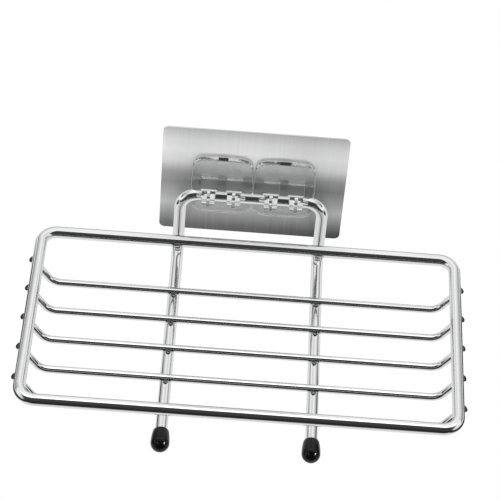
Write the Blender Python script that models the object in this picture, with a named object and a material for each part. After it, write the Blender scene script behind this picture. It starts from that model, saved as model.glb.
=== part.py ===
# Wall-mounted wire soap dish: a rack of welded wire that hangs by its top bar in the moulded
# hooks of an adhesive backing plate.
# +X runs to the viewer's right, +Y into the wall, +Z up.
# The origin is the centre of the adhesive's back face, where the dish meets the wall.

import math

import bmesh
import bpy
from mathutils import Vector

mm = 0.001

# Driving sizes, from centre line to centre line for wires
rim_width = 140.5 * mm
rim_depth = 76.0 * mm
rim_corner_radius = 5.5 * mm
frame_wire_diameter = 4.0 * mm
cross_wire_diameter = 2.5 * mm
cross_wire_count = 5
basin_drop = 13.3 * mm
weld_gap = 0.3 * mm

# Backing plate and the adhesive behind it
plate_width = 63.0 * mm
plate_height = 46.6 * mm
plate_thickness = 0.6 * mm
plate_corner_radius = 2.0 * mm
plate_edge_radius = 0.15 * mm
adhesive_thickness = 0.8 * mm
adhesive_margin = 1.2 * mm
adhesive_edge_radius = 0.2 * mm
assembly_gap = 0.3 * mm

# Moulded hook pads
pad_width = 21.0 * mm
pad_height = 24.5 * mm
pad_thickness = 1.8 * mm
pad_corner_radius = 4.5 * mm
pad_edge_radius = 0.6 * mm
pad_side_crown = 0.25 * mm
pad_centre_drop = 0.8 * mm
pad_gap = 0.3 * mm
hooks_per_pad = 2
hook_pitch = 8.6 * mm
hook_width = 4.6 * mm
hook_wall = 1.5 * mm
hook_clearance = 0.4 * mm
hook_rise_above_bar = 5.0 * mm
hook_flare = 0.5 * mm
hook_edge_radius = 0.25 * mm
seat_arc = math.radians(120)
hook_bar_drop = 2.4 * mm
lip_height = 1.7 * mm
slot_width = 1.1 * mm
window_width = 5.4 * mm
window_above_bar = 5.1 * mm
rib_width = 1.3 * mm
rib_reach = 4.6 * mm
rib_out_share = 0.75
ear_radius = 0.65 * mm
ear_length = 1.7 * mm
ear_above_bar = 2.4 * mm
ear_tip_share = 0.6

# Hanging frame
loop_width = 48.8 * mm
loop_rise = 9.8 * mm
loop_setback = 13.6 * mm
loop_corner_radius = 6.5 * mm
kink_radius = 6.0 * mm

# Cross wires
first_wire_from_rail = 10.8 * mm
cross_wire_pitch = 13.3 * mm
slant_angle = math.radians(56.4)
wire_bend_radius = 5.5 * mm
wire_end_short = 0.7 * mm
wire_end_round = 0.5 * mm

# End caps
cap_length = 8.0 * mm
cap_wall = 0.78 * mm
cap_bore_clearance = 0.3 * mm
cap_end_wall = 2.2 * mm
cap_mouth_taper = 0.48 * mm
cap_mouth_round = 0.25 * mm
cap_overhang = 0.85 * mm
cap_wire_clearance = 1.0 * mm

# How finely round shapes are divided
frame_wire_resolution = 8
cross_wire_resolution = 6
bend_steps = 9
corner_steps = 6
side_steps = 4
edge_steps = 3
cap_sides = 24
cap_dome_steps = 6
cap_taper_steps = 4
hook_arc_steps = 9
tip_steps = 6
ear_sides = 12
cut_overrun = 1.0 * mm
pad_smooth_angle = math.radians(28)

# Radii that follow from the wires
frame_wire_radius = frame_wire_diameter / 2
cross_wire_radius = cross_wire_diameter / 2

# The stack in front of the wall, back to front
plate_back = adhesive_thickness + assembly_gap
plate_front = plate_back + plate_thickness
pad_back = plate_front + assembly_gap
pad_front = pad_back + pad_thickness
seat_radius = frame_wire_radius + hook_clearance
bar_out = pad_front + seat_radius

# Where the rack hangs
bar_height = -hook_bar_drop
rim_height = bar_height - loop_rise
back_rail_out = bar_out + loop_setback
rim_centre_out = back_rail_out + rim_depth / 2
front_rail_out = back_rail_out + rim_depth
wire_height = rim_height - basin_drop
leg_height = wire_height - cross_wire_radius - weld_gap - frame_wire_radius

# The caps reach just past the front rail, and their mouths stay in front of the last cross wire
first_wire_out = back_rail_out + first_wire_from_rail
last_wire_out = first_wire_out + (cross_wire_count - 1) * cross_wire_pitch
cap_tip_out = max(
    front_rail_out + frame_wire_radius + cap_overhang,
    last_wire_out + cross_wire_radius + cap_wire_clearance + cap_length,
)


def clear_scene():
    for old_object in list(bpy.data.objects):
        bpy.data.objects.remove(old_object, do_unlink=True)


def make_material(name, colour, roughness, metallic=0.0, transmission=0.0):
    material = bpy.data.materials.new(name)
    material.use_nodes = True
    shader = material.node_tree.nodes["Principled BSDF"]
    shader.inputs["Base Color"].default_value = (*colour, 1.0)
    shader.inputs["Roughness"].default_value = roughness
    shader.inputs["Metallic"].default_value = metallic
    shader.inputs["Transmission Weight"].default_value = transmission
    return material


def add_object(name, data, material, parent=None):
    new_object = bpy.data.objects.new(name, data)
    bpy.context.collection.objects.link(new_object)
    data.materials.append(material)
    new_object.parent = parent
    return new_object


def add_empty(name, location):
    empty = bpy.data.objects.new(name, None)
    empty.location = location
    bpy.context.collection.objects.link(empty)
    return empty


def mesh_from_bmesh(name, shape, smooth_angle=math.radians(35)):
    bmesh.ops.recalc_face_normals(shape, faces=shape.faces)
    mesh = bpy.data.meshes.new(name)
    shape.to_mesh(mesh)
    shape.free()
    mesh.shade_smooth()
    mesh.set_sharp_from_angle(angle=smooth_angle)
    return mesh


# Wires

def rounded_path(corners, radius, closed=False):
    # Straight runs joined by arcs that are tangent to both runs at each corner
    count = len(corners)
    points = []
    for index, corner in enumerate(corners):
        is_end = index in (0, count - 1) and not closed
        if is_end:
            points.append(corner.copy())
            continue
        to_last = (corners[index - 1] - corner).normalized()
        to_next = (corners[(index + 1) % count] - corner).normalized()
        half_angle = to_last.angle(to_next) / 2
        centre = corner + (to_last + to_next).normalized() * (radius / math.sin(half_angle))
        start = corner + to_last * (radius / math.tan(half_angle)) - centre
        end = corner + to_next * (radius / math.tan(half_angle)) - centre
        sweep = start.angle(end)
        for step in range(bend_steps + 1):
            share = step / bend_steps
            blend = start * math.sin((1 - share) * sweep) + end * math.sin(share * sweep)
            points.append(centre + blend / math.sin(sweep))
    return points


def round_wire_ends(points, wire_radius, end_round):
    # Short steps at both ends, where the wire narrows to a rounded cut
    steps = edge_steps
    first = (points[1] - points[0]).normalized()
    last = (points[-2] - points[-1]).normalized()
    start = []
    finish = []
    for step in range(steps + 1):
        angle = math.pi / 2 * step / steps
        along = end_round * (1 - math.sin(angle))
        share = 1 - end_round * (1 - math.cos(angle)) / wire_radius
        start.append((points[0] + first * along, share))
        finish.append((points[-1] + last * along, share))
    start.reverse()
    inner = [(point, 1.0) for point in points[1:-1]]
    return start + inner + finish


def wire_curve(name, points, wire_diameter, resolution, closed=False):
    curve = bpy.data.curves.new(name, "CURVE")
    curve.dimensions = "3D"
    curve.bevel_depth = wire_diameter / 2
    curve.bevel_resolution = resolution
    curve.use_fill_caps = not closed
    spline = curve.splines.new("POLY")
    spline.points.add(len(points) - 1)
    for spline_point, (place, share) in zip(spline.points, points):
        spline_point.co = (*place, 1.0)
        spline_point.radius = share
    spline.use_cyclic_u = closed
    spline.use_smooth = True
    return curve


def build_rim(material, rack):
    half_width = rim_width / 2
    half_depth = rim_depth / 2
    corners = [
        Vector((-half_width, half_depth, 0)),
        Vector((half_width, half_depth, 0)),
        Vector((half_width, -half_depth, 0)),
        Vector((-half_width, -half_depth, 0)),
    ]
    points = [(point, 1.0) for point in rounded_path(corners, rim_corner_radius, closed=True)]
    curve = wire_curve("rim_frame", points, frame_wire_diameter, frame_wire_resolution, closed=True)
    rim = add_object("rim_frame", curve, material, rack)
    rim.location = (0, bar_out - rim_centre_out, rim_height - bar_height)
    return rim


def build_support_frame(material, rack):
    # One wire: up a leg, across the top bar and down the other leg, then forward under the basin
    half_width = loop_width / 2
    leg_drop = leg_height - bar_height
    leg_end = bar_out - (cap_tip_out - cap_end_wall)
    corners = [
        Vector((-half_width, leg_end, leg_drop)),
        Vector((-half_width, 0, leg_drop)),
        Vector((-half_width, 0, 0)),
        Vector((half_width, 0, 0)),
        Vector((half_width, 0, leg_drop)),
        Vector((half_width, leg_end, leg_drop)),
    ]
    left_leg = rounded_path(corners[:3], kink_radius)[:-1]
    loop = rounded_path(corners[1:5], loop_corner_radius)[1:-1]
    right_leg = rounded_path(corners[3:], kink_radius)[1:]
    points = round_wire_ends(left_leg + loop + right_leg, frame_wire_radius, wire_end_round)
    curve = wire_curve("support_frame", points, frame_wire_diameter, frame_wire_resolution)
    return add_object("support_frame", curve, material, rack)


def cross_wire_points():
    # The slanted run passes below and outside the rail that it is welded to
    offset = frame_wire_radius + cross_wire_radius + weld_gap
    half_width = rim_width / 2
    touch = Vector((half_width + offset * math.sin(slant_angle), 0, -offset * math.cos(slant_angle)))
    along = Vector((math.cos(slant_angle), 0, math.sin(slant_angle)))
    fall = (basin_drop + touch.z) / math.sin(slant_angle)
    bend = touch - along * fall
    end = touch - along * wire_end_short
    mirror = Vector((-1, 1, 1))
    corners = [end * mirror, bend * mirror, bend, end]
    return round_wire_ends(rounded_path(corners, wire_bend_radius), cross_wire_radius, wire_end_round)


def build_cross_wires(material, rack):
    curve = wire_curve("cross_wire", cross_wire_points(), cross_wire_diameter, cross_wire_resolution)
    curve.materials.append(material)
    for index in range(cross_wire_count):
        wire = bpy.data.objects.new(f"cross_wire_{index + 1}", curve)
        bpy.context.collection.objects.link(wire)
        wire.parent = rack
        wire_out = first_wire_out + index * cross_wire_pitch
        wire.location = (0, bar_out - wire_out, rim_height - bar_height)


# End caps

def cap_profile():
    # Radius and place along the leg, from the domed tip round the mouth to the bore's blind end
    bore_radius = frame_wire_radius + cap_bore_clearance
    outer_radius = bore_radius + cap_wall
    profile = []
    for step in range(cap_dome_steps + 1):
        angle = math.pi / 2 * step / cap_dome_steps
        place = cap_length - outer_radius * (1 - math.cos(angle))
        profile.append((outer_radius * math.sin(angle), place))
    taper_length = cap_length - outer_radius
    for step in range(1, cap_taper_steps + 1):
        place = taper_length + (cap_mouth_round - taper_length) * step / cap_taper_steps
        profile.append((outer_radius - cap_mouth_taper * (1 - place / taper_length) ** 2, place))
    mouth_radius = outer_radius - cap_mouth_taper
    for step in range(1, edge_steps + 1):
        angle = math.pi / 2 * step / edge_steps
        radius = mouth_radius - cap_mouth_round * (1 - math.cos(angle))
        profile.append((radius, cap_mouth_round * (1 - math.sin(angle))))
    bore_depth = cap_length - cap_end_wall + cap_bore_clearance
    profile.append((bore_radius, 0))
    profile.append((bore_radius, bore_depth - wire_end_round))
    profile.append((bore_radius - wire_end_round, bore_depth))
    profile.append((0, bore_depth))
    return profile


def cap_mesh():
    shape = bmesh.new()
    rings = []
    for radius, place in cap_profile():
        if radius == 0:
            rings.append([shape.verts.new((0, -place, 0))])
            continue
        ring = []
        for side in range(cap_sides):
            angle = 2 * math.pi * side / cap_sides
            ring.append(shape.verts.new((radius * math.cos(angle), -place, radius * math.sin(angle))))
        rings.append(ring)
    for first, second in zip(rings, rings[1:]):
        for side in range(cap_sides):
            after = (side + 1) % cap_sides
            if len(first) == 1:
                shape.faces.new((first[0], second[side], second[after]))
            elif len(second) == 1:
                shape.faces.new((first[side], second[0], first[after]))
            else:
                shape.faces.new((first[side], second[side], second[after], first[after]))
    return mesh_from_bmesh("end_cap", shape)


def build_end_caps(material, rack):
    mesh = cap_mesh()
    mesh.materials.append(material)
    mouth = bar_out - (cap_tip_out - cap_length)
    for name, side in (("end_cap_left", -1), ("end_cap_right", 1)):
        cap = bpy.data.objects.new(name, mesh)
        bpy.context.collection.objects.link(cap)
        cap.parent = rack
        cap.location = (side * loop_width / 2, mouth, leg_height - bar_height)


# Flat pieces

def plate_outline(width, height, corner, crown=0.0):
    # Sides with a slight crown between quarter-round corners, anticlockwise seen from the front
    half_width = width / 2
    half_height = height / 2
    points = []
    for turn in range(4):
        across, up = ((half_width, half_height), (half_height, half_width))[turn % 2]
        run = up - corner
        side = []
        for step in range(side_steps + 1):
            share = 2 * step / side_steps - 1
            side.append((across - crown * share * share, run * share))
        for step in range(1, corner_steps):
            angle = math.pi / 2 * step / corner_steps
            pull = crown * (1 - step / corner_steps)
            other_pull = crown * step / corner_steps
            side.append((
                across - corner + corner * math.cos(angle) - pull,
                run + corner * math.sin(angle) - other_pull,
            ))
        for place, rise in side:
            for quarter in range(turn):
                place, rise = -rise, place
            points.append((place, rise))
    return points


def add_slab(shape, width, height, corner, back, front, edge, crown=0.0):
    # A plate between two distances from the wall, with its front edge rounded
    rings = []
    layers = [(back, 0.0)]
    for step in range(edge_steps + 1):
        angle = math.pi / 2 * step / edge_steps
        layers.append((front - edge + edge * math.sin(angle), edge * (1 - math.cos(angle))))
    for out, inset in layers:
        outline = plate_outline(width - 2 * inset, height - 2 * inset, corner - inset, crown)
        rings.append([shape.verts.new((across, -out, up)) for across, up in outline])
    shape.faces.new(rings[0])
    shape.faces.new(rings[-1])
    for first, second in zip(rings, rings[1:]):
        for index in range(len(first)):
            after = (index + 1) % len(first)
            shape.faces.new((first[index], first[after], second[after], second[index]))


def build_adhesive(material, parent):
    shape = bmesh.new()
    width = plate_width - 2 * adhesive_margin
    height = plate_height - 2 * adhesive_margin
    add_slab(shape, width, height, plate_corner_radius, 0.0, adhesive_thickness, adhesive_edge_radius)
    add_object("adhesive_sheet", mesh_from_bmesh("adhesive_sheet", shape), material, parent)


def build_plate(material, parent):
    shape = bmesh.new()
    add_slab(
        shape, plate_width, plate_height, plate_corner_radius, plate_back, plate_front, plate_edge_radius
    )
    add_object("backing_plate", mesh_from_bmesh("backing_plate", shape), material, parent)


# Hook pads

def hook_profile():
    # Distance out from the pad's face and height above the bar's centre
    points = [(-pad_thickness / 2, -seat_radius - hook_wall)]
    arm_back = 2 * seat_radius
    for step in range(hook_arc_steps + 1):
        angle = -math.pi / 2 + math.pi / 2 * step / hook_arc_steps
        reach = seat_radius + hook_wall
        points.append((seat_radius + reach * math.cos(angle), reach * math.sin(angle)))
    tip_radius = hook_wall / 2
    tip_out = arm_back + tip_radius + hook_flare
    for step in range(tip_steps + 1):
        angle = math.pi * step / tip_steps
        points.append((
            tip_out + tip_radius * math.cos(angle),
            hook_rise_above_bar - tip_radius + tip_radius * math.sin(angle),
        ))
    points.append((arm_back, ear_above_bar - ear_radius))
    for step in range(hook_arc_steps + 1):
        angle = -seat_arc * step / hook_arc_steps
        points.append((seat_radius + seat_radius * math.cos(angle), seat_radius * math.sin(angle)))
    points.append((-pad_thickness / 2, -seat_radius * math.sin(seat_arc)))
    return points


def rib_profile():
    # The web under the hook, a long taper down the pad
    top = -seat_radius - hook_wall / 2
    out = rib_out_share * (2 * seat_radius + hook_wall)
    low = top - rib_reach
    points = [(-pad_thickness / 2, top), (out, top), (out, top - hook_wall / 2)]
    for step in range(1, hook_arc_steps + 1):
        share = step / hook_arc_steps
        points.append((out * (1 - share) ** 2, top - hook_wall / 2 + (low - top) * share))
    points.append((-pad_thickness / 2, low - hook_wall / 2))
    return points


def add_extrusion(shape, profile, centre, width, edge=0.0):
    # A profile drawn outward and up from the bar's line on the pad's face, carried along X
    half = width / 2
    start = [shape.verts.new((centre - half, -pad_front - out, bar_height + up)) for out, up in profile]
    finish = [shape.verts.new((centre + half, -pad_front - out, bar_height + up)) for out, up in profile]
    first_face = shape.faces.new(start)
    last_face = shape.faces.new(finish)
    for index in range(len(profile)):
        after = (index + 1) % len(profile)
        shape.faces.new((start[index], start[after], finish[after], finish[index]))
    bmesh.ops.recalc_face_normals(shape, faces=shape.faces)
    if edge:
        edges = list(first_face.edges) + list(last_face.edges)
        bmesh.ops.bevel(shape, geom=edges, offset=edge, segments=1, affect="EDGES", clamp_overlap=True)


def box_profile(out_low, out_high, up_low, up_high):
    return [(out_low, up_low), (out_high, up_low), (out_high, up_high), (out_low, up_high)]


def add_ear(shape, centre, side):
    # A short peg on the hook's outer flank
    root = centre + side * (hook_width / 2 - hook_wall / 2)
    length = hook_wall / 2 + ear_length
    out = pad_front + 2 * seat_radius + hook_wall / 2
    rings = []
    layers = [(0.0, 1.0), (length - ear_radius / 2, 1.0), (length, ear_tip_share)]
    for along, radius_share in layers:
        ring = []
        for step in range(ear_sides):
            angle = 2 * math.pi * step / ear_sides
            radius = ear_radius * radius_share
            ring.append(shape.verts.new((
                root + side * along,
                -out + radius * math.cos(angle),
                bar_height + ear_above_bar + radius * math.sin(angle),
            )))
        rings.append(ring)
    shape.faces.new(rings[0])
    shape.faces.new(rings[-1])
    for first, second in zip(rings, rings[1:]):
        for index in range(ear_sides):
            after = (index + 1) % ear_sides
            shape.faces.new((first[index], first[after], second[after], second[index]))


def cut_or_join(target, shape, operation):
    # The shape is cut from the target or joined to it, in the target's own mesh
    helper = bpy.data.objects.new("helper", mesh_from_bmesh("helper", shape))
    bpy.context.collection.objects.link(helper)
    modifier = target.modifiers.new("helper", "BOOLEAN")
    modifier.operation = operation
    modifier.solver = "EXACT"
    modifier.object = helper
    bpy.context.view_layer.update()
    evaluated = target.evaluated_get(bpy.context.evaluated_depsgraph_get())
    mesh = bpy.data.meshes.new_from_object(evaluated)
    target.modifiers.clear()
    target.data = mesh
    bpy.data.objects.remove(helper, do_unlink=True)


def build_pad(name, side, material, parent):
    pad_centre = side * (pad_width + pad_gap) / 2
    base = bmesh.new()
    add_slab(
        base, pad_width, pad_height, pad_corner_radius, pad_back, pad_front, pad_edge_radius, pad_side_crown
    )
    bmesh.ops.translate(base, verts=base.verts, vec=(pad_centre, 0, -pad_centre_drop))
    pad = add_object(name, mesh_from_bmesh(name, base), material, parent)

    first_centre = pad_centre - hook_pitch * (hooks_per_pad - 1) / 2
    centres = [first_centre + index * hook_pitch for index in range(hooks_per_pad)]
    windows = bmesh.new()
    hooks = bmesh.new()
    ribs = bmesh.new()
    slots = bmesh.new()
    ears = bmesh.new()
    arm_back = 2 * seat_radius
    window = box_profile(-pad_thickness - cut_overrun, cut_overrun, -seat_radius, window_above_bar)
    slot_top = hook_rise_above_bar - lip_height
    slot = box_profile(
        arm_back - hook_wall / 2, arm_back + hook_wall + cut_overrun, -seat_radius - hook_wall / 2, slot_top
    )
    for centre in centres:
        ear_side = 1 if centre > pad_centre else -1
        add_extrusion(windows, window, centre, window_width)
        add_extrusion(hooks, hook_profile(), centre, hook_width, hook_edge_radius)
        add_extrusion(ribs, rib_profile(), centre, rib_width)
        add_extrusion(slots, slot, centre, slot_width)
        add_ear(ears, centre, ear_side)
    cut_or_join(pad, windows, "DIFFERENCE")
    cut_or_join(pad, hooks, "UNION")
    cut_or_join(pad, slots, "DIFFERENCE")
    cut_or_join(pad, ribs, "UNION")
    cut_or_join(pad, ears, "UNION")
    pad.data.shade_smooth()
    pad.data.set_sharp_from_angle(angle=pad_smooth_angle)


def build():
    clear_scene()
    polished_wire = make_material("polished_wire", (0.72, 0.73, 0.74), 0.08, metallic=1.0)
    brushed_plate = make_material("brushed_plate", (0.56, 0.57, 0.58), 0.32, metallic=1.0)
    clear_plastic = make_material("clear_plastic", (0.92, 0.93, 0.94), 0.06, transmission=0.9)
    black_vinyl = make_material("black_vinyl", (0.012, 0.012, 0.013), 0.22)
    adhesive = make_material("adhesive", (0.78, 0.79, 0.78), 0.45, transmission=0.3)

    wall_plate = add_empty("wall_plate", (0, 0, 0))
    build_adhesive(adhesive, wall_plate)
    build_plate(brushed_plate, wall_plate)
    build_pad("hook_pad_left", -1, clear_plastic, wall_plate)
    build_pad("hook_pad_right", 1, clear_plastic, wall_plate)

    rack = add_empty("rack", (0, -bar_out, bar_height))
    build_rim(polished_wire, rack)
    build_support_frame(polished_wire, rack)
    build_cross_wires(polished_wire, rack)
    build_end_caps(black_vinyl, rack)


build()
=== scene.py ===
import math

import bmesh
import bpy
from mathutils import Matrix, Quaternion, Vector


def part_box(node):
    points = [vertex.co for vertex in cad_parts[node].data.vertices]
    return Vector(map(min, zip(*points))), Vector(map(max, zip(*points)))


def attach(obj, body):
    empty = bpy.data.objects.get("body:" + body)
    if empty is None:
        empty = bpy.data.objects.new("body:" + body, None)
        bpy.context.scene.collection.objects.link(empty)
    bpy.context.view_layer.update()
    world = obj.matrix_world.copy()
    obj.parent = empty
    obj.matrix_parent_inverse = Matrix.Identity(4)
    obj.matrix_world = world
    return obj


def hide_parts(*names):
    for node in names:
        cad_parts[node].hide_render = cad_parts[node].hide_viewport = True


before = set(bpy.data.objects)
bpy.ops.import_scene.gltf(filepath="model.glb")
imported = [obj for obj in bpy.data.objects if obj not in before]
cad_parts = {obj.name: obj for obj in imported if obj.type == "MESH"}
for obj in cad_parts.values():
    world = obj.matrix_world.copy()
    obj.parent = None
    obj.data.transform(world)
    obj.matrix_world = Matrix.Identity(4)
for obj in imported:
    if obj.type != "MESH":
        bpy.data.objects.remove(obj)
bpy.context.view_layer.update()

mm = 0.001


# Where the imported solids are
rimLow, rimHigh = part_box("rim_frame")
supportLow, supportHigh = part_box("support_frame")
plateLow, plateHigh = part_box("backing_plate")
filmLow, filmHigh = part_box("adhesive_sheet")
frameRadius = (rimHigh.z - rimLow.z) / 2
rimCentre = (rimLow + rimHigh) / 2
railAcross = rimHigh.x - frameRadius
barHeight = supportHigh.z - frameRadius
barDepth = supportHigh.y - frameRadius
legHeight = supportLow.z + frameRadius
legAcross = supportHigh.x - frameRadius


# Shader maths

class Sock:
    # One socket; the operators add Math nodes after it
    def __init__(self, graph, socket):
        self.graph = graph
        self.socket = socket

    def math(self, operation, other=None, swap=False):
        values = [self] if other is None else [self, other]
        if swap:
            values.reverse()
        inputs = {index: value for index, value in enumerate(values)}
        return self.graph.add("ShaderNodeMath", {"operation": operation}, inputs)

    def __add__(self, other):
        return self.math("ADD", other)

    def __radd__(self, other):
        return self.math("ADD", other)

    def __sub__(self, other):
        return self.math("SUBTRACT", other)

    def __rsub__(self, other):
        return self.math("SUBTRACT", other, swap=True)

    def __mul__(self, other):
        return self.math("MULTIPLY", other)

    def __rmul__(self, other):
        return self.math("MULTIPLY", other)

    def clamped(self):
        return self.math("MAXIMUM", 0.0).math("MINIMUM", 1.0)

    def patches(self, gain, cut):
        # A noise sharpened into patches, from 0 to 1
        return (self * gain - cut).clamped()


class Graph:
    # A material or the world, and the one way its nodes are added
    def __init__(self, owner):
        owner.use_nodes = True
        self.tree = owner.node_tree
        self.tree.nodes.clear()

    def add(self, kind, settings=None, inputs=None, output=0):
        node = self.tree.nodes.new(kind)
        for key, value in (settings or {}).items():
            if key == "stops":
                ramp = node.color_ramp
                while len(ramp.elements) < len(value):
                    ramp.elements.new(0.5)
                for element, (position, shade) in zip(ramp.elements, value):
                    element.position = position
                    element.color = (shade, shade, shade, 1.0)
            else:
                setattr(node, key, value)
        for key, value in (inputs or {}).items():
            if isinstance(value, Sock):
                self.tree.links.new(value.socket, node.inputs[key])
            elif isinstance(value, tuple) and len(value) == 3 and node.inputs[key].type == "RGBA":
                node.inputs[key].default_value = (*value, 1.0)
            else:
                node.inputs[key].default_value = value
        return Sock(self, node.outputs[output]) if node.outputs else node

    def attribute(self, name):
        return self.add("ShaderNodeAttribute", {"attribute_name": name}, output="Vector")

    def position(self):
        return self.add("ShaderNodeTexCoord", output="Object")

    def noise(self, vector, scale, detail=3.0, roughness=0.5):
        # Three scales stretch the noise
        if isinstance(scale, tuple):
            vector = self.add("ShaderNodeMapping", {}, {"Vector": vector, "Scale": scale})
            scale = 1.0
        inputs = {"Vector": vector, "Scale": scale, "Detail": detail, "Roughness": roughness}
        return self.add("ShaderNodeTexNoise", {}, inputs)

    def axis(self, vector, name):
        return self.add("ShaderNodeSeparateXYZ", {}, {"Vector": vector}, output=name)

    def mixColour(self, factor, first, second):
        settings = {"data_type": "RGBA"}
        return self.add("ShaderNodeMix", settings, {0: factor, 6: first, 7: second}, output=2)

    def ramp(self, factor, stops):
        return self.add("ShaderNodeValToRGB", {"stops": stops}, {"Fac": factor})

    def bump(self, height, finish):
        inputs = {"Strength": finish["bump"], "Distance": finish["bumpDepth"], "Height": height}
        return self.add("ShaderNodeBump", {}, inputs)

    def seen(self):
        # 1 for what the camera, a reflection or a clear piece looks at, else 0
        rays = [self.add("ShaderNodeLightPath", output=name) for name in (
            "Is Camera Ray", "Is Glossy Ray", "Is Transmission Ray",
        )]
        return (rays[0] + rays[1] + rays[2]).clamped()

    def surface(self, inputs):
        self.finish(self.add("ShaderNodeBsdfPrincipled", {}, inputs))

    def finish(self, shader):
        self.add("ShaderNodeOutputMaterial", {}, {"Surface": shader})


# Materials. A pair of numbers, such as smudges, is the gain and the cut of a noise's patches

wireFinish = dict(
    colour=(0.83, 0.833, 0.838), dull=(0.77, 0.775, 0.78), roughness=0.085, smudgeRough=0.03,
    drawnRough=0.02, dulled=0.6, drawnScale=(900.0, 900.0, 12.0), smudgeScale=(260.0, 260.0, 90.0),
    smudges=(2.4, 0.9), bump=0.03, bumpDepth=0.00001,
)
weldFinish = dict(
    colour=(0.26, 0.26, 0.262), heatTintAndShade=(0.15, 0.15, 0.152), roughness=0.30, rippleRough=0.18,
    rippleScale=2400.0, tintScale=600.0, tints=(2.0, 0.5), bump=0.35, bumpDepth=0.00006,
)
cutFinish = dict(
    colour=(0.16, 0.16, 0.162), darkPatch=(0.05, 0.05, 0.052), roughness=0.42, tearRough=0.2,
    tearScale=1900.0, tears=(2.2, 0.6), bump=0.5, bumpDepth=0.00005,
)
plateFinish = dict(
    light=(0.98, 0.982, 0.985), dark=(0.03, 0.031, 0.033), roughness=0.22, streakRough=0.16,
    streaks=0.24, metal=0.45, waver=0.05, paintedLean=0.13, streakScale=(2600.0, 40.0, 16.0),
    broadScale=(300.0, 20.0, 9.0), bump=0.22, bumpDepth=0.00004,
)
# Painted reflection: light and dark bands of the surroundings mirrored in the plate, painted into its colour
# by height
paintedReflectionBands = [  # height up the plate, and how light it is there
    (0.00, 0.07), (0.06, 0.13), (0.13, 0.28), (0.26, 0.60), (0.34, 0.44), (0.47, 0.27), (0.57, 0.42),
    (0.68, 0.78), (0.79, 0.92), (0.90, 0.84), (1.00, 0.62),
]
padFinish = dict(
    colour=(0.965, 0.968, 0.97), roughness=0.01, unevenRough=0.03, ior=1.38, coat=0.3, coatRoughness=0.03,
    flowScale=(160.0, 160.0, 70.0), fineScale=1300.0, bump=0.10, bumpDepth=0.0002,
)
capFinish = dict(
    colour=(0.0035, 0.0035, 0.0037), bloom=(0.009, 0.009, 0.0095), roughness=0.04, cloudRough=0.10,
    skinRough=0.04, shine=0.22, skinScale=900.0, cloudScale=260.0, clouds=(1.8, 0.7), bump=0.10,
    bumpDepth=0.00008,
)
filmFinish = dict(
    colour=(0.82, 0.83, 0.82), cloudy=(0.66, 0.67, 0.66), bubble=(0.50, 0.51, 0.505), roughness=0.42,
    cellRough=0.14, bubbleScale=620.0, bubbleFall=4.0, cloudScale=180.0, clouds=(2.6, 0.8),
    trapped=(2.0, 0.6), cellScale=1600.0, clear=0.25, bump=0.25, bumpDepth=0.00008,
)


def polishedWire():
    material = bpy.data.materials.new("polishedWire")
    graph = Graph(material)
    space = graph.attribute("wireSpace")
    drawn = graph.noise(space, wireFinish["drawnScale"], 2.0)
    smudge = graph.noise(space, wireFinish["smudgeScale"], 4.0, 0.6)
    patch = smudge.patches(*wireFinish["smudges"])
    roughness = patch * wireFinish["smudgeRough"] + drawn * wireFinish["drawnRough"] + wireFinish["roughness"]
    graph.surface({
        "Base Color": graph.mixColour(patch * wireFinish["dulled"], wireFinish["colour"], wireFinish["dull"]),
        "Metallic": 1.0,
        "Roughness": roughness,
        "Normal": graph.bump(drawn, wireFinish),
    })
    return material


def weldSteel():
    # The beads where wires cross; their dark colour is partly the weld's own and partly painted contact shade
    # where the wires meet
    material = bpy.data.materials.new("weldSteel")
    graph = Graph(material)
    place = graph.position()
    ripple = graph.noise(place, weldFinish["rippleScale"], 4.0, 0.6)
    # Darker patches: partly heat tint, partly painted contact shade
    tintAndShade = graph.noise(place, weldFinish["tintScale"], 2.0).patches(*weldFinish["tints"])
    graph.surface({
        "Base Color": graph.mixColour(tintAndShade, weldFinish["colour"], weldFinish["heatTintAndShade"]),
        "Metallic": 1.0,
        "Roughness": ripple * weldFinish["rippleRough"] + weldFinish["roughness"],
        "Normal": graph.bump(ripple, weldFinish),
    })
    return material


def cutSteel():
    # The sheared ends of the cross wires, painted dark: partly the rough sheared steel's own colour and
    # partly a painted dark reflection
    material = bpy.data.materials.new("cutSteel")
    graph = Graph(material)
    tear = graph.noise(graph.position(), cutFinish["tearScale"], 4.0, 0.65)
    # Still darker patches along the tears, part of the painted dark reflection
    darkPatch = tear.patches(*cutFinish["tears"])
    graph.surface({
        "Base Color": graph.mixColour(darkPatch, cutFinish["colour"], cutFinish["darkPatch"]),
        "Metallic": 1.0,
        "Roughness": tear * cutFinish["tearRough"] + cutFinish["roughness"],
        "Normal": graph.bump(tear, cutFinish),
    })
    return material


def brushedPlate():
    # Upright brushing over broad light and dark bands of painted reflection, which also grow darker towards
    # the right
    material = bpy.data.materials.new("brushedPlate")
    graph = Graph(material)
    place = graph.position()
    streak = graph.noise(place, plateFinish["streakScale"], 6.0, 0.8)
    broad = graph.noise(place, plateFinish["broadScale"], 4.0, 0.7)
    height = graph.axis(place, "Z") * (1 / (plateHigh.z - plateLow.z)) + 0.5
    paintedBands = graph.ramp((height + (broad - 0.5) * plateFinish["waver"]).clamped(), paintedReflectionBands)
    # Painted reflection too: the plate's colour grows darker towards its right edge
    paintedLean = graph.axis(place, "X") * (-plateFinish["paintedLean"] / (plateHigh.x - plateLow.x))
    tone = (paintedBands + paintedLean + (streak - 0.5) * plateFinish["streaks"]).clamped()
    graph.surface({
        "Base Color": graph.mixColour(tone, plateFinish["dark"], plateFinish["light"]),
        "Metallic": plateFinish["metal"],
        "Roughness": streak * plateFinish["streakRough"] + plateFinish["roughness"],
        "Normal": graph.bump(streak, plateFinish),
    })
    return material


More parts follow.
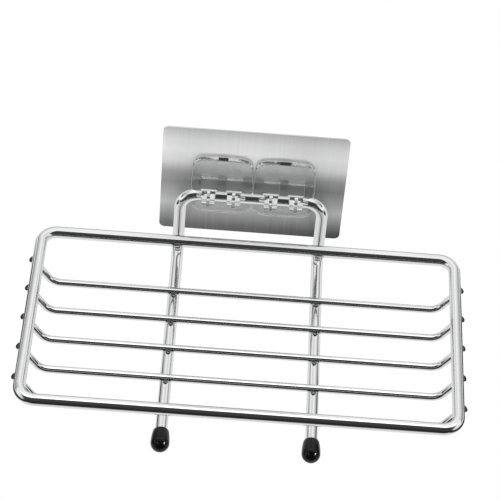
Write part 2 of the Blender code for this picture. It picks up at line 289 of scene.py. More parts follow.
def clearPlastic():
    material = bpy.data.materials.new("clearPlastic")
    graph = Graph(material)
    place = graph.position()
    flow = graph.noise(place, padFinish["flowScale"], 2.0)
    fine = graph.noise(place, padFinish["fineScale"], 2.0)
    graph.surface({
        "Base Color": padFinish["colour"],
        "Roughness": (fine + flow) * padFinish["unevenRough"] + padFinish["roughness"],
        "IOR": padFinish["ior"],
        "Transmission Weight": 1.0,
        "Coat Weight": padFinish["coat"],
        "Coat Roughness": padFinish["coatRoughness"],
        "Normal": graph.bump(flow, padFinish),
    })
    return material


def blackVinyl():
    material = bpy.data.materials.new("blackVinyl")
    graph = Graph(material)
    place = graph.position()
    skin = graph.noise(place, capFinish["skinScale"], 3.0)
    cloud = graph.noise(place, capFinish["cloudScale"], 3.0, 0.6)
    bloom = cloud.patches(*capFinish["clouds"])
    roughness = cloud * capFinish["cloudRough"] + skin * capFinish["skinRough"] + capFinish["roughness"]
    graph.surface({
        "Base Color": graph.mixColour(bloom, capFinish["colour"], capFinish["bloom"]),
        "Roughness": roughness,
        "Specular IOR Level": capFinish["shine"],
        "Normal": graph.bump(skin, capFinish),
    })
    return material


def adhesiveFilm():
    # Cloudy film with a few trapped bubbles
    material = bpy.data.materials.new("adhesiveFilm")
    graph = Graph(material)
    place = graph.position()
    cloud = graph.noise(place, filmFinish["cloudScale"], 4.0, 0.6)
    cells = graph.noise(place, filmFinish["cellScale"], 2.0)
    inputs = {"Vector": place, "Scale": filmFinish["bubbleScale"]}
    fromBubble = graph.add("ShaderNodeTexVoronoi", {"feature": "F1"}, inputs, output="Distance")
    bubbles = (1 - fromBubble * filmFinish["bubbleFall"]).clamped()
    body = graph.mixColour(cloud.patches(*filmFinish["clouds"]), filmFinish["colour"], filmFinish["cloudy"])
    trapped = bubbles * cloud.patches(*filmFinish["trapped"])
    graph.surface({
        "Base Color": graph.mixColour(trapped, body, filmFinish["bubble"]),
        "Roughness": cells * filmFinish["cellRough"] + filmFinish["roughness"],
        "Transmission Weight": filmFinish["clear"],
        "Normal": graph.bump(cells, filmFinish),
    })
    return material


# Meshes

def meshObject(name, shape, material, body, smoothAngle=35.0, endMaterial=None):
    bmesh.ops.recalc_face_normals(shape, faces=shape.faces)
    mesh = bpy.data.meshes.new(name)
    shape.to_mesh(mesh)
    shape.free()
    mesh.materials.append(material)
    if endMaterial:
        mesh.materials.append(endMaterial)
    mesh.shade_smooth()
    mesh.set_sharp_from_angle(angle=math.radians(smoothAngle))
    made = bpy.data.objects.new(name, mesh)
    bpy.context.scene.collection.objects.link(made)
    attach(made, body)
    return made


def roundedPath(corners, radius, steps, closed=False):
    # Straight runs with an arc at each corner, tangent to both runs
    count = len(corners)
    places = []
    for index, corner in enumerate(corners):
        if index in (0, count - 1) and not closed:
            places.append(corner.copy())
            continue
        back = (corners[index - 1] - corner).normalized()
        ahead = (corners[(index + 1) % count] - corner).normalized()
        half = back.angle(ahead) / 2
        centre = corner + (back + ahead).normalized() * (radius / math.sin(half))
        start = corner + back * (radius / math.tan(half)) - centre
        end = corner + ahead * (radius / math.tan(half)) - centre
        sweep = start.angle(end)
        for step in range(steps + 1):
            share = step / steps
            blend = start * math.sin((1 - share) * sweep) + end * math.sin(share * sweep)
            places.append(centre + blend / math.sin(sweep))
    return places


wirePiece = dict(endSteps=5)


def wireRings(places, radius, endRound, closed):
    # Centre, radius and distance along the wire for each ring, with rounded cut ends
    rings = []
    along = 0.0
    for index, place in enumerate(places):
        if index:
            along += (place - places[index - 1]).length
        rings.append((place, radius, along))
    if closed:
        return rings
    steps = wirePiece["endSteps"]
    for end in (0, -1):
        tip, full, reach = rings[end]
        neighbour = rings[1][0] if end == 0 else rings[-2][0]
        inward = (neighbour - tip).normalized()
        rounded = []
        for step in range(steps + 1):
            angle = math.pi / 2 * step / steps
            shift = endRound * (1 - math.sin(angle))
            away = shift if end == 0 else -shift
            rounded.append((tip + inward * shift, radius - endRound * (1 - math.cos(angle)), reach + away))
        if end == 0:
            rings = rounded[::-1] + rings[1:]
        else:
            rings = rings[:-1] + rounded
    return rings


def addWire(shape, places, radius, sides, endRound=0.0, closed=False, cutEnds=False):
    # A tube whose rings turn as little as they can, with its straightened place in wireSpace
    layer = shape.verts.layers.float_vector.new("wireSpace")
    rings = wireRings(places, radius, endRound, closed)
    count = len(rings)
    across = None
    loops = []
    for index, (place, ringRadius, along) in enumerate(rings):
        before = rings[index - 1][0] if index or closed else place
        after = rings[(index + 1) % count][0] if index < count - 1 or closed else place
        heading = ((after - place).normalized() + (place - before).normalized()).normalized()
        if across is None:
            across = heading.orthogonal().normalized()
        across = (across - heading * across.dot(heading)).normalized()
        other = heading.cross(across)
        loop = []
        for side in range(sides):
            angle = 2 * math.pi * side / sides
            offset = across * math.cos(angle) + other * math.sin(angle)
            vert = shape.verts.new(place + offset * ringRadius)
            vert[layer] = (radius * math.cos(angle), radius * math.sin(angle), along)
            loop.append(vert)
        loops.append(loop)
    pairs = list(zip(loops, loops[1:]))
    if closed:
        last, first = loops[-1], loops[0]
        shift = min(range(sides), key=lambda turn: (last[0].co - first[turn].co).length)
        pairs.append((last, first[shift:] + first[:shift]))
    else:
        for loop in (loops[0], loops[-1]):
            shape.faces.new(loop).material_index = int(cutEnds)
    rounded = wirePiece["endSteps"]
    for index, (near, far) in enumerate(pairs):
        isEnd = cutEnds and not rounded <= index < len(pairs) - rounded
        for side in range(sides):
            nextSide = (side + 1) % sides
            face = shape.faces.new((near[side], near[nextSide], far[nextSide], far[side]))
            face.material_index = int(isEnd)


# Wire pieces

rimPiece = dict(cornerRadius=5.5 * mm, sides=40, steps=16)
supportPiece = dict(loopRadius=6.5 * mm, kinkRadius=6.0 * mm, endRound=0.5 * mm, sides=40, steps=16)
crossPiece = dict(
    count=5, radius=1.25 * mm, slant=math.radians(56.4), bendRadius=5.5 * mm, weldGap=0.3 * mm,
    endShort=0.7 * mm, endRound=0.5 * mm, sides=28, steps=14,
)


def buildRim(material):
    left = rimLow.x + frameRadius
    right = rimHigh.x - frameRadius
    front = rimLow.y + frameRadius
    back = rimHigh.y - frameRadius
    level = rimCentre.z
    corners = [
        Vector((left, back, level)), Vector((right, back, level)),
        Vector((right, front, level)), Vector((left, front, level)),
    ]
    shape = bmesh.new()
    places = roundedPath(corners, rimPiece["cornerRadius"], rimPiece["steps"], closed=True)
    addWire(shape, places, frameRadius, rimPiece["sides"], closed=True)
    rim = meshObject("rimWire", shape, material, "rack")
    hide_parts("rim_frame")


def buildSupport(material):
    legEnd = supportLow.y
    corners = [
        Vector((-legAcross, legEnd, legHeight)), Vector((-legAcross, barDepth, legHeight)),
        Vector((-legAcross, barDepth, barHeight)), Vector((legAcross, barDepth, barHeight)),
        Vector((legAcross, barDepth, legHeight)), Vector((legAcross, legEnd, legHeight)),
    ]
    kink = supportPiece["kinkRadius"]
    steps = supportPiece["steps"]
    leftLeg = roundedPath(corners[:3], kink, steps)[:-1]
    loop = roundedPath(corners[1:5], supportPiece["loopRadius"], steps)[1:-1]
    rightLeg = roundedPath(corners[3:], kink, steps)[1:]
    shape = bmesh.new()
    addWire(shape, leftLeg + loop + rightLeg, frameRadius, supportPiece["sides"], supportPiece["endRound"])
    support = meshObject("supportWire", shape, material, "rack")
    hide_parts("support_frame")


def crossWirePlaces(depth, level):
    radius = crossPiece["radius"]
    slant = crossPiece["slant"]
    offset = frameRadius + radius + crossPiece["weldGap"]
    touch = Vector((
        railAcross + offset * math.sin(slant), depth, rimCentre.z - offset * math.cos(slant)
    ))
    along = Vector((math.cos(slant), 0, math.sin(slant)))
    bend = touch - along * ((touch.z - level) / math.sin(slant))
    end = touch - along * crossPiece["endShort"]
    mirror = Vector((-1, 1, 1))
    corners = [end * mirror, bend * mirror, bend, end]
    return roundedPath(corners, crossPiece["bendRadius"], crossPiece["steps"])


def crossWireSeat(index):
    low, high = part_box(f"cross_wire_{index + 1}")
    return (low.y + high.y) / 2, low.z + crossPiece["radius"]


def buildCrossWires(material, endMaterial):
    for index in range(crossPiece["count"]):
        depth, level = crossWireSeat(index)
        shape = bmesh.new()
        places = crossWirePlaces(depth, level)
        addWire(
            shape, places, crossPiece["radius"], crossPiece["sides"], crossPiece["endRound"], cutEnds=True
        )
        wire = meshObject(f"crossWire{index + 1}", shape, material, "rack", endMaterial=endMaterial)
        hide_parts(f"cross_wire_{index + 1}")
        wire.visible_glossy = False


# Weld nuggets where the wires cross

weldPiece = dict(
    length=1.5 * mm, width=1.0 * mm, sink=0.35 * mm, sides=18, rings=8, unevenShare=0.12, unevenTurn=2.4,
    smoothAngle=60.0,
)


def addNugget(shape, place, normal, lengthways, gap, seed):
    # A flattened bead between two crossing wires, a little uneven from weld to weld
    normal = normal.normalized()
    lengthways = lengthways.normalized()
    sideways = normal.cross(lengthways)
    uneven = 1 + weldPiece["unevenShare"] * math.sin(seed * weldPiece["unevenTurn"])
    half = gap / 2 + weldPiece["sink"]
    frameMatrix = Matrix((
        (*(lengthways * weldPiece["length"] * uneven), 0), (*(sideways * weldPiece["width"]), 0),
        (*(normal * half), 0), (0, 0, 0, 1),
    )).transposed()
    frameMatrix.translation = place
    bmesh.ops.create_uvsphere(
        shape, u_segments=weldPiece["sides"], v_segments=weldPiece["rings"], radius=1.0, matrix=frameMatrix
    )


def buildWelds(material):
    gap = crossPiece["weldGap"]
    radius = crossPiece["radius"]
    slant = crossPiece["slant"]
    reach = frameRadius + gap / 2
    legWelds = bmesh.new()
    railWelds = bmesh.new()
    seed = 0
    for index in range(crossPiece["count"]):
        depth, level = crossWireSeat(index)
        for side in (-1, 1):
            seed += 1
            place = Vector((side * legAcross, depth, level - radius - gap / 2))
            addNugget(legWelds, place, Vector((0, 0, 1)), Vector((0, 1, 0)), gap, seed)
            outward = Vector((side * math.sin(slant), 0, -math.cos(slant)))
            along = Vector((side * math.cos(slant), 0, math.sin(slant)))
            place = Vector((side * railAcross, depth, rimCentre.z)) + outward * reach
            place = place - along * crossPiece["endShort"]
            addNugget(railWelds, place, outward, Vector((0, 1, 0)), gap, seed)
    for name, shape in (("legWelds", legWelds), ("railWelds", railWelds)):
        welds = meshObject(name, shape, material, "rack", weldPiece["smoothAngle"])


# End caps

capPiece = dict(
    wall=0.78 * mm, clearance=0.3 * mm, taper=0.48 * mm, mouthRound=0.25 * mm, mouthInset=0.1 * mm,
    boreShare=0.7, sides=64, domeSteps=16, taperSteps=12, mouthSteps=6, smoothAngle=50.0,
)


def capOutline(length):
    # Radius and distance from the mouth, tip first
    bore = frameRadius + capPiece["clearance"]
    outer = bore + capPiece["wall"]
    steps = capPiece["domeSteps"]
    outline = []
    for step in range(steps + 1):
        angle = math.pi / 2 * step / steps
        outline.append((outer * math.sin(angle), length - outer * (1 - math.cos(angle))))
    taperLength = length - outer
    for step in range(1, capPiece["taperSteps"] + 1):
        place = taperLength + (capPiece["mouthRound"] - taperLength) * step / capPiece["taperSteps"]
        outline.append((outer - capPiece["taper"] * (1 - place / taperLength) ** 2, place))
    mouth = outer - capPiece["taper"]
    for step in range(1, capPiece["mouthSteps"] + 1):
        angle = math.pi / 2 * step / capPiece["mouthSteps"]
        radius = mouth - capPiece["mouthRound"] * (1 - math.cos(angle))
        outline.append((radius, capPiece["mouthRound"] * (1 - math.sin(angle))))
    outline.append((bore, capPiece["mouthInset"]))
    outline.append((bore, length * capPiece["boreShare"]))
    outline.append((0.0, length * capPiece["boreShare"]))
    return outline


def buildCaps(material):
    caps = []
    for name, node in (("capLeft", "end_cap_left"), ("capRight", "end_cap_right")):
        low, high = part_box(node)
        centre = (low + high) / 2
        outline = capOutline(high.y - low.y)
        shape = bmesh.new()
        rings = []
        sides = capPiece["sides"]
        for radius, place in outline:
            if radius == 0:
                rings.append([shape.verts.new((centre.x, high.y - place, centre.z))])
                continue
            ring = []
            for side in range(sides):
                angle = 2 * math.pi * side / sides
                across = centre.x + radius * math.cos(angle)
                ring.append(shape.verts.new((across, high.y - place, centre.z + radius * math.sin(angle))))
            rings.append(ring)
        for near, far in zip(rings, rings[1:]):
            for side in range(sides):
                after = (side + 1) % sides
                if len(near) == 1:
                    shape.faces.new((near[0], far[side], far[after]))
                elif len(far) == 1:
                    shape.faces.new((near[side], far[0], near[after]))
                else:
                    shape.faces.new((near[side], far[side], far[after], near[after]))
        cap = meshObject(name, shape, material, "rack", capPiece["smoothAngle"])
        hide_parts(node)
        caps.append(cap)
    return caps


# Plate and adhesive

platePiece = dict(cornerRadius=2.0 * mm, edge=0.15 * mm, cornerSteps=14, edgeSteps=4, sideSteps=4)
filmPiece = dict(cornerRadius=2.0 * mm, edge=0.2 * mm, cornerSteps=14, edgeSteps=3, sideSteps=4)
padPiece = dict(
    cornerRadius=4.5 * mm, edge=0.6 * mm, crown=0.25 * mm, cornerSteps=14, edgeSteps=6, sideSteps=10,
    smoothAngle=28.0,
)


def slabOutline(width, height, corner, sizes):
    # Sides that bulge by the crown, and round corners
    crown = sizes.get("crown", 0.0)
    halfWidth = width / 2
    halfHeight = height / 2
    outline = []
    for turn in range(4):
        across, up = ((halfWidth, halfHeight), (halfHeight, halfWidth))[turn % 2]
        run = up - corner
        side = []
        for step in range(sizes["sideSteps"] + 1):
            share = 2 * step / sizes["sideSteps"] - 1
            side.append((across - crown * share * share, run * share))
        for step in range(1, sizes["cornerSteps"]):
            share = step / sizes["cornerSteps"]
            angle = math.pi / 2 * share
            side.append((
                across - corner + corner * math.cos(angle) - crown * (1 - share),
                run + corner * math.sin(angle) - crown * share,
            ))
        for place, rise in side:
            for quarter in range(turn):
                place, rise = -rise, place
            outline.append((place, rise))
    return outline


def addSlab(shape, low, high, sizes):
    # A plate that faces -Y, with its front edge rounded
    centre = (low + high) / 2
    size = high - low
    edge = sizes["edge"]
    layers = [(high.y, 0.0)]
    for step in range(sizes["edgeSteps"] + 1):
        angle = math.pi / 2 * step / sizes["edgeSteps"]
        layers.append((low.y + edge - edge * math.sin(angle), edge * (1 - math.cos(angle))))
    rings = []
    for depth, inset in layers:
        corner = sizes["cornerRadius"] - inset
        outline = slabOutline(size.x - 2 * inset, size.z - 2 * inset, corner, sizes)
        rings.append([shape.verts.new((centre.x + x, depth, centre.z + z)) for x, z in outline])
    shape.faces.new(rings[0])
    shape.faces.new(rings[-1])
    for near, far in zip(rings, rings[1:]):
        for index in range(len(near)):
            after = (index + 1) % len(near)
            shape.faces.new((near[index], near[after], far[after], far[index]))


def buildPlate(material):
    shape = bmesh.new()
    addSlab(shape, plateLow, plateHigh, platePiece)
    plate = meshObject("brushedPlatePanel", shape, material, "wall_plate")
    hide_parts("backing_plate")
    plate.visible_glossy = False
    return plate


def buildFilm(material):
    shape = bmesh.new()
    addSlab(shape, filmLow, filmHigh, filmPiece)
    film = meshObject("adhesiveFilmSheet", shape, material, "wall_plate")
    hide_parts("adhesive_sheet")
    film.visible_glossy = False


# Hook pads

hookPiece = dict(
    perPad=2, pitch=8.6 * mm, width=4.6 * mm, wall=1.5 * mm, clearance=0.4 * mm, riseAboveBar=5.0 * mm,
    flare=0.5 * mm, edge=0.25 * mm, seatArc=math.radians(120), lip=1.7 * mm, slot=1.1 * mm,
    window=5.4 * mm, windowAboveBar=5.1 * mm, ribWidth=1.3 * mm, ribReach=4.6 * mm, ribOutShare=0.75,
    earRadius=0.65 * mm, earLength=1.7 * mm, earAboveBar=2.4 * mm, earTipShare=0.6,
    earRoundShare=0.85, padThickness=1.8 * mm, overrun=1.0 * mm, arcSteps=16, tipSteps=10, earSides=20,
    edgeSegments=3,
)


def hookOutline():
    # Distance out from the pad's face and height above the bar
    wall = hookPiece["wall"]
    seat = frameRadius + hookPiece["clearance"]
    root = -hookPiece["padThickness"] / 2
    steps = hookPiece["arcSteps"]
    outline = [(root, -seat - wall)]
    for step in range(steps + 1):
        angle = -math.pi / 2 + math.pi / 2 * step / steps
        outline.append((seat + (seat + wall) * math.cos(angle), (seat + wall) * math.sin(angle)))
    tip = wall / 2
    tipOut = 2 * seat + tip + hookPiece["flare"]
    for step in range(hookPiece["tipSteps"] + 1):
        angle = math.pi * step / hookPiece["tipSteps"]
        rise = hookPiece["riseAboveBar"] - tip + tip * math.sin(angle)
        outline.append((tipOut + tip * math.cos(angle), rise))
    outline.append((2 * seat, hookPiece["earAboveBar"] - hookPiece["earRadius"]))
    for step in range(steps + 1):
        angle = -hookPiece["seatArc"] * step / steps
        outline.append((seat + seat * math.cos(angle), seat * math.sin(angle)))
    outline.append((root, -seat * math.sin(hookPiece["seatArc"])))
    return outline


def ribOutline():
    # The tapering web below a hook
    wall = hookPiece["wall"]
    seat = frameRadius + hookPiece["clearance"]
    root = -hookPiece["padThickness"] / 2
    top = -seat - wall / 2
    out = hookPiece["ribOutShare"] * (2 * seat + wall)
    outline = [(root, top), (out, top), (out, top - wall / 2)]
    for step in range(1, hookPiece["arcSteps"] + 1):
        share = step / hookPiece["arcSteps"]
        outline.append((out * (1 - share) ** 2, top - wall / 2 - hookPiece["ribReach"] * share))
    outline.append((root, top - hookPiece["ribReach"] - wall / 2))
    return outline


def boxOutline(outLow, outHigh, upLow, upHigh):
    return [(outLow, upLow), (outHigh, upLow), (outHigh, upHigh), (outLow, upHigh)]


def addExtrusion(shape, outline, padFace, centre, width, edge=0.0):
    half = width / 2
    start = [shape.verts.new((centre - half, padFace - out, barHeight + up)) for out, up in outline]
    finish = [shape.verts.new((centre + half, padFace - out, barHeight + up)) for out, up in outline]
    faces = [shape.faces.new(start), shape.faces.new(finish)]
    for index in range(len(outline)):
        after = (index + 1) % len(outline)
        shape.faces.new((start[index], start[after], finish[after], finish[index]))
    bmesh.ops.recalc_face_normals(shape, faces=shape.faces)
    if edge:
        edges = list(faces[0].edges) + list(faces[1].edges)
        bmesh.ops.bevel(
            shape, geom=edges, offset=edge, segments=hookPiece["edgeSegments"], profile=0.5, affect="EDGES",
            clamp_overlap=True,
        )


def addEar(shape, padFace, centre, side):
    # The small peg on a hook's outer flank
    wall = hookPiece["wall"]
    root = centre + side * (hookPiece["width"] / 2 - wall / 2)
    length = wall / 2 + hookPiece["earLength"]
    depth = padFace - 2 * (frameRadius + hookPiece["clearance"]) - wall / 2
    radius = hookPiece["earRadius"]
    layers = [
        (0.0, 1.0), (length - radius / 2, 1.0), (length - radius / 6, hookPiece["earRoundShare"]),
        (length, hookPiece["earTipShare"]),
    ]
    rings = []
    for along, share in layers:
        ring = []
        for step in range(hookPiece["earSides"]):
            angle = 2 * math.pi * step / hookPiece["earSides"]
            ring.append(shape.verts.new((
                root + side * along,
                depth + radius * share * math.cos(angle),
                barHeight + hookPiece["earAboveBar"] + radius * share * math.sin(angle),
            )))
        rings.append(ring)
    shape.faces.new(rings[0])
    shape.faces.new(rings[-1])
    for near, far in zip(rings, rings[1:]):
        for step in range(len(near)):
            after = (step + 1) % len(near)
            shape.faces.new((near[step], near[after], far[after], far[step]))


def cutOrJoin(target, shape, operation):
    bmesh.ops.recalc_face_normals(shape, faces=shape.faces)
    mesh = bpy.data.meshes.new("helper")
    shape.to_mesh(mesh)
    shape.free()
    helper = bpy.data.objects.new("helper", mesh)
    bpy.context.scene.collection.objects.link(helper)
    modifier = target.modifiers.new("helper", "BOOLEAN")
    modifier.operation = operation
    modifier.solver = "EXACT"
    modifier.object = helper
    bpy.context.view_layer.update()
    evaluated = target.evaluated_get(bpy.context.evaluated_depsgraph_get())
    result = bpy.data.meshes.new_from_object(evaluated)
    target.modifiers.clear()
    target.data = result
    bpy.data.objects.remove(helper)


def buildPad(name, node, material):
    low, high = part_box(node)
    padFace = high.y - hookPiece["padThickness"]
    baseLow = Vector((low.x, padFace, low.z))
    centre = (low.x + high.x) / 2
    base = bmesh.new()
    addSlab(base, baseLow, high, padPiece)
    pad = meshObject(name, base, material, "wall_plate")
    seat = frameRadius + hookPiece["clearance"]
    wall = hookPiece["wall"]
    over = hookPiece["overrun"]
    window = boxOutline(-hookPiece["padThickness"] - over, over, -seat, hookPiece["windowAboveBar"])
    slotTop = hookPiece["riseAboveBar"] - hookPiece["lip"]
    slot = boxOutline(2 * seat - wall / 2, 2 * seat + wall + over, -seat - wall / 2, slotTop)
    windows, hooks, slots, ribs, ears = (bmesh.new() for part in range(5))
    for index in range(hookPiece["perPad"]):
        hookAt = centre + (index - (hookPiece["perPad"] - 1) / 2) * hookPiece["pitch"]
        addExtrusion(windows, window, padFace, hookAt, hookPiece["window"])
        addExtrusion(hooks, hookOutline(), padFace, hookAt, hookPiece["width"], hookPiece["edge"])
        addExtrusion(slots, slot, padFace, hookAt, hookPiece["slot"])
        addExtrusion(ribs, ribOutline(), padFace, hookAt, hookPiece["ribWidth"])
        addEar(ears, padFace, hookAt, 1 if hookAt > centre else -1)
    cutOrJoin(pad, windows, "DIFFERENCE")
    cutOrJoin(pad, hooks, "UNION")
    cutOrJoin(pad, slots, "DIFFERENCE")
    cutOrJoin(pad, ribs, "UNION")
    cutOrJoin(pad, ears, "UNION")
    pad.data.shade_smooth()
    pad.data.set_sharp_from_angle(angle=math.radians(padPiece["smoothAngle"]))
    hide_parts(node)


# Studio

studio = dict(
    floorDrop=0.60, floorHalf=4.0, floorColour=(0.88, 0.88, 0.88), floorSeen=1.03, floorReflected=0.86,
    floorGlow=0.94, worldDiffuse=0.55,
)
view = dict(
    focalPixels=2318.0, yaw=1.07, pitch=44.74, roll=4.96, acrossShift=2.05 * mm, upShift=25.46 * mm,
    distance=0.762, imageWidth=500, sensorWidth=36.0, clipStart=0.01,
)
frontFlag = dict(
    radius=0.62, low=-44.0, high=86.0, softLow=26.0, softHigh=14.0, half=1.15, softSide=0.55,
    darkest=0.02, upper=0.03, upperFrom=-5.0, upperTo=35.0, steps=48, columns=16,
)
topCard = dict(
    rise=0.087, half=0.60, near=0.020, far=0.45, centre=1.10, middle=0.54, side=0.07,
    centreReach=0.105, middleReach=0.33, dip=0.30, dipReach=0.038, steps=14, columns=96,
)
sideBand = dict(
    reach=0.025, front=-0.075, back=0.075, low=-0.034, high=0.003, softUp=0.008, softBack=0.035, shade=0.02,
    steps=12, columns=24,
)
legBand = dict(
    ahead=0.0046, half=0.0056, reach=0.0026, softShare=0.2, aboveRun=0.0035, belowBar=0.002, soft=0.005,
    cover=0.46, steps=14, columns=24,
)
backCard = dict(
    radius=0.62, low=-52.0, high=24.0, soft=14.0, half=0.30, softSide=0.12, shade=0.45, steps=16, columns=12,
)
lamps = dict(
    overhead=dict(toward=(0.0, -0.05, 0.75), size=(1.1, 0.62), power=2.5),
    front=dict(toward=(0.0, -0.75, -0.30), size=(0.9, 1.2), power=2.1, only="plate"),
    glintLeft=dict(toward=(-0.54, -0.60, 0.59), size=(0.13, 0.30), power=6.0, only="caps", turn=50.0),
    glintRight=dict(toward=(0.77, -0.45, 0.45), size=(0.19, 0.40), power=18.0, only="caps", turn=-65.0),
)


def smooth(low, high, value):
    share = min(1.0, max(0.0, (value - low) / (high - low)))
    return share * share * (3 - 2 * share)


def buildWorld():
    world = bpy.data.worlds.new("studioWorld")
    bpy.context.scene.world = world
    graph = Graph(world)
    diffuse = studio["worldDiffuse"]
    background = graph.add("ShaderNodeBackground", {}, {
        "Color": (1.0, 1.0, 1.0), "Strength": graph.seen() * (1.0 - diffuse) + diffuse,
    })
    graph.add("ShaderNodeOutputWorld", {}, {"Surface": background})


def buildFloor():
    material = bpy.data.materials.new("paleFloor")
    graph = Graph(material)
    diffuse = graph.add("ShaderNodeBsdfDiffuse", {}, {"Color": studio["floorColour"]})
    camera = graph.add("ShaderNodeLightPath", output="Is Camera Ray")
    strength = camera * (studio["floorSeen"] - studio["floorReflected"]) + studio["floorReflected"]
    glow = graph.add("ShaderNodeEmission", {}, {"Color": (1.0, 1.0, 1.0), "Strength": strength})
    mixed = graph.add("ShaderNodeMixShader", {}, {0: graph.seen() * studio["floorGlow"], 1: diffuse, 2: glow})
    graph.finish(mixed)
    half = studio["floorHalf"]
    level = supportLow.z - studio["floorDrop"]
    mesh = bpy.data.meshes.new("floor")
    corners = [(-half, -half, level), (half, -half, level), (half, half, level), (-half, half, level)]
    mesh.from_pydata(corners, [], [(0, 1, 2, 3)])
    mesh.materials.append(material)
    floor = bpy.data.objects.new("floor", mesh)
    bpy.context.scene.collection.objects.link(floor)


def cardMaterial():
    # Glows by each vertex's shade and lets the rest of the studio through by its cover
    material = bpy.data.materials.new("studioCard")
    graph = Graph(material)
    shade = graph.add("ShaderNodeAttribute", {"attribute_name": "shade"}, output="Fac")
    cover = graph.add("ShaderNodeAttribute", {"attribute_name": "cover"}, output="Fac")
    glow = graph.add("ShaderNodeEmission", {}, {"Color": (1.0, 1.0, 1.0), "Strength": shade})
    clear = graph.add("ShaderNodeBsdfTransparent")
    mixed = graph.add("ShaderNodeMixShader", {}, {0: cover, 1: clear, 2: glow})
    graph.finish(mixed)
    return material


def addCard(name, sizes, material, point):
    # A soft-edged card that only reflections see; point gives place, shade and cover from two shares
    shape = bmesh.new()
    shadeLayer = shape.verts.layers.float.new("shade")
    coverLayer = shape.verts.layers.float.new("cover")
    rows = []
    for step in range(sizes["steps"] + 1):
        row = []
        for column in range(sizes["columns"] + 1):
            place, shade, cover = point(step / sizes["steps"], column / sizes["columns"])
            vert = shape.verts.new(place)
            vert[shadeLayer] = shade
            vert[coverLayer] = cover
            row.append(vert)
        rows.append(row)
    for near, far in zip(rows, rows[1:]):
        for column in range(sizes["columns"]):
            shape.faces.new((near[column], near[column + 1], far[column + 1], far[column]))
    mesh = bpy.data.meshes.new(name)
    shape.to_mesh(mesh)
    shape.free()
    mesh.materials.append(material)
    mesh.shade_smooth()
    card = bpy.data.objects.new(name, mesh)
    bpy.context.scene.collection.objects.link(card)
    card.visible_camera = False
    card.visible_diffuse = False
    card.visible_transmission = False
    card.visible_shadow = False


def frontPoint(upShare, acrossShare):
    # An arc in front of the rack: what gives the wires their dark band
    angle = frontFlag["low"] + (frontFlag["high"] - frontFlag["low"]) * upShare
    across = frontFlag["half"] * (2 * acrossShare - 1)
    radius = frontFlag["radius"]
    away = Vector((across, -radius * math.cos(math.radians(angle)), radius * math.sin(math.radians(angle))))
    cover = smooth(frontFlag["low"], frontFlag["low"] + frontFlag["softLow"], angle)
    cover *= 1 - smooth(frontFlag["high"] - frontFlag["softHigh"], frontFlag["high"], angle)
    cover *= 1 - smooth(frontFlag["half"] - frontFlag["softSide"], frontFlag["half"], abs(across))
    shade = frontFlag["darkest"]
    shade += frontFlag["upper"] * smooth(frontFlag["upperFrom"], frontFlag["upperTo"], angle)
    return rimCentre + away, shade, cover


def topPoint(backShare, acrossShare):
    # A low card over and behind the rack, brightest in the middle: the shading of the side rails
    across = topCard["half"] * (2 * acrossShare - 1) * abs(2 * acrossShare - 1)
    back = topCard["near"] + (topCard["far"] - topCard["near"]) * backShare
    place = Vector((rimCentre.x + across, rimCentre.y + back, rimCentre.z + topCard["rise"]))
    shade = topCard["side"] + topCard["middle"] * math.exp(-(across / topCard["middleReach"]) ** 2)
    centre = topCard["centre"] - topCard["middle"] - topCard["side"]
    shade += centre / (1 + (across / topCard["centreReach"]) ** 4)
    shade -= topCard["dip"] * math.exp(-(across / topCard["dipReach"]) ** 4)
    return place, shade, 1.0


def bandPoint(side):
    # A dark strip close beside each side rail, which only the rail's outer edge looks at
    def point(upShare, backShare):
        up = sideBand["low"] + (sideBand["high"] - sideBand["low"]) * upShare
        back = sideBand["front"] + (sideBand["back"] - sideBand["front"]) * backShare
        across = side * (rimHigh.x + sideBand["reach"])
        cover = smooth(sideBand["low"], sideBand["low"] + sideBand["softUp"], up)
        cover *= 1 - smooth(sideBand["high"] - sideBand["softUp"], sideBand["high"], up)
        cover *= 1 - smooth(sideBand["back"] - sideBand["softBack"], sideBand["back"], back)
        return rimCentre + Vector((across, back, up)), sideBand["shade"], cover
    return point


def legPoint(side):
    # A soft dark strip just ahead of each leg, for the shaded middle of the leg
    low = legHeight + legBand["aboveRun"]
    high = barHeight - legBand["belowBar"]

    def point(upShare, acrossShare):
        up = low + (high - low) * upShare
        across = legBand["half"] * (2 * acrossShare - 1)
        cover = legBand["cover"] * math.exp(-(across / legBand["reach"]) ** 2)
        cover *= 1 - smooth(legBand["half"] * (1 - legBand["softShare"]), legBand["half"], abs(across))
        cover *= smooth(low, low + legBand["soft"], up) * (1 - smooth(high - legBand["soft"], high, up))
        return Vector((side * legAcross + across, barDepth - legBand["ahead"], up)), 0.0, cover
    return point


def backPoint(upShare, acrossShare):
    # A grey arc behind the rack, which keeps the wires' back sides from glaring in each other
    angle = backCard["low"] + (backCard["high"] - backCard["low"]) * upShare
    across = backCard["half"] * (2 * acrossShare - 1)
    radius = backCard["radius"]
    away = Vector((across, radius * math.cos(math.radians(angle)), radius * math.sin(math.radians(angle))))
    cover = smooth(backCard["low"], backCard["low"] + backCard["soft"], angle)
    cover *= 1 - smooth(backCard["half"] - backCard["softSide"], backCard["half"], abs(across))
    return rimCentre + away, backCard["shade"], cover


def buildCards():
    material = cardMaterial()
    addCard("frontFlag", frontFlag, material, frontPoint)
    addCard("topCard", topCard, material, topPoint)
    addCard("bandLeft", sideBand, material, bandPoint(-1))
    addCard("bandRight", sideBand, material, bandPoint(1))
    addCard("legBandLeft", legBand, material, legPoint(-1))
    addCard("legBandRight", legBand, material, legPoint(1))
    addCard("backCard", backCard, material, backPoint)


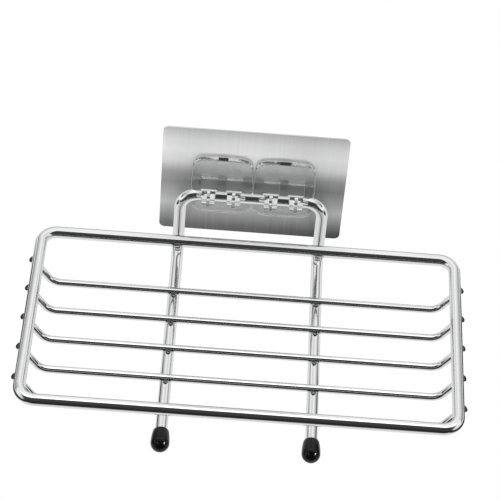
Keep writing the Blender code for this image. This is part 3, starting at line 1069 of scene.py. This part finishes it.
def buildLamps(receivers):
    # A soft lamp overhead, one for the plate alone, and two whose glints show on the caps alone
    for name, values in lamps.items():
        light = bpy.data.lights.new(name + "Lamp", "AREA")
        light.shape = "RECTANGLE"
        light.size, light.size_y = values["size"]
        light.energy = values["power"]
        lamp = bpy.data.objects.new(name + "Lamp", light)
        bpy.context.scene.collection.objects.link(lamp)
        away = Vector(values["toward"])
        aim = (-away).to_track_quat("-Z", "Y")
        turn = Quaternion((0, 0, 1), math.radians(values.get("turn", 0.0)))
        lamp.location = rimCentre + away
        lamp.rotation_euler = (aim @ turn).to_euler()
        if "only" in values:
            group = bpy.data.collections.new(name + "Receivers")
            for receiver in receivers[values["only"]]:
                group.objects.link(receiver)
            lamp.light_linking.receiver_collection = group
            lamp.visible_diffuse = values["only"] != "caps"


def buildCamera():
    yaw = math.radians(view["yaw"])
    pitch = math.radians(view["pitch"])
    roll = math.radians(view["roll"])
    ahead = Vector((math.sin(yaw) * math.cos(pitch), math.cos(yaw) * math.cos(pitch), -math.sin(pitch)))
    right = Vector((math.cos(yaw), -math.sin(yaw), 0))
    up = right.cross(ahead)
    rolledRight = right * math.cos(roll) + up * math.sin(roll)
    rolledUp = up * math.cos(roll) - right * math.sin(roll)
    data = bpy.data.cameras.new("camera")
    data.sensor_width = view["sensorWidth"]
    data.lens = view["focalPixels"] / view["imageWidth"] * data.sensor_width
    data.clip_start = view["clipStart"]
    camera = bpy.data.objects.new("camera", data)
    bpy.context.scene.collection.objects.link(camera)
    shift = rolledRight * view["acrossShift"] + rolledUp * view["upShift"]
    place = rimCentre - ahead * view["distance"] + shift
    turn = Matrix((rolledRight, rolledUp, -ahead)).transposed()
    camera.matrix_world = Matrix.Translation(place) @ turn.to_4x4()
    bpy.context.scene.camera = camera


buildCamera()
buildWorld()
buildFloor()
buildCards()
bpy.context.scene.view_settings.view_transform = "Standard"
print("studio ready")

wireMaterial = polishedWire()
weldMaterial = weldSteel()
buildRim(wireMaterial)
buildSupport(wireMaterial)
buildCrossWires(wireMaterial, cutSteel())
buildWelds(weldMaterial)
print("rack wires ready")

caps = buildCaps(blackVinyl())
print("caps ready")

plate = buildPlate(brushedPlate())
buildFilm(adhesiveFilm())
padMaterial = clearPlastic()
buildPad("padLeft", "hook_pad_left", padMaterial)
buildPad("padRight", "hook_pad_right", padMaterial)
buildLamps({"caps": caps, "plate": [plate]})
print("wall plate ready")
